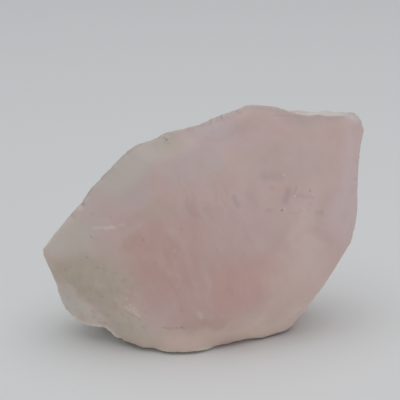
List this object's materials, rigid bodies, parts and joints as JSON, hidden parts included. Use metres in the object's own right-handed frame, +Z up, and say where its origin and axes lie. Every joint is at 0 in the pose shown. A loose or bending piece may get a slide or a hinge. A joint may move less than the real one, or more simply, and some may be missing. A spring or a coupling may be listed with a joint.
{
  "type": "rough morganite crystal lump",
  "caption": "Rough lump of cloudy pale pink beryl with a broad domed front break, a thin top ledge and a flat foot that it stands on.",
  "frame": {"origin": "on the flat foot, under the middle of the lump's box", "axes": "+X along the longest way, towards the squared end; +Y away from the broad front face; +Z up"},
  "size_m": [0.0702, 0.0336, 0.0535],
  "materials": {
    "cloudy_pink_beryl": "frosted, waxy, milky broken surface"
  },
  "bodies": {
    "root": {"morganite_crystal": "cloudy_pink_beryl"}
  },
  "joints": []
}
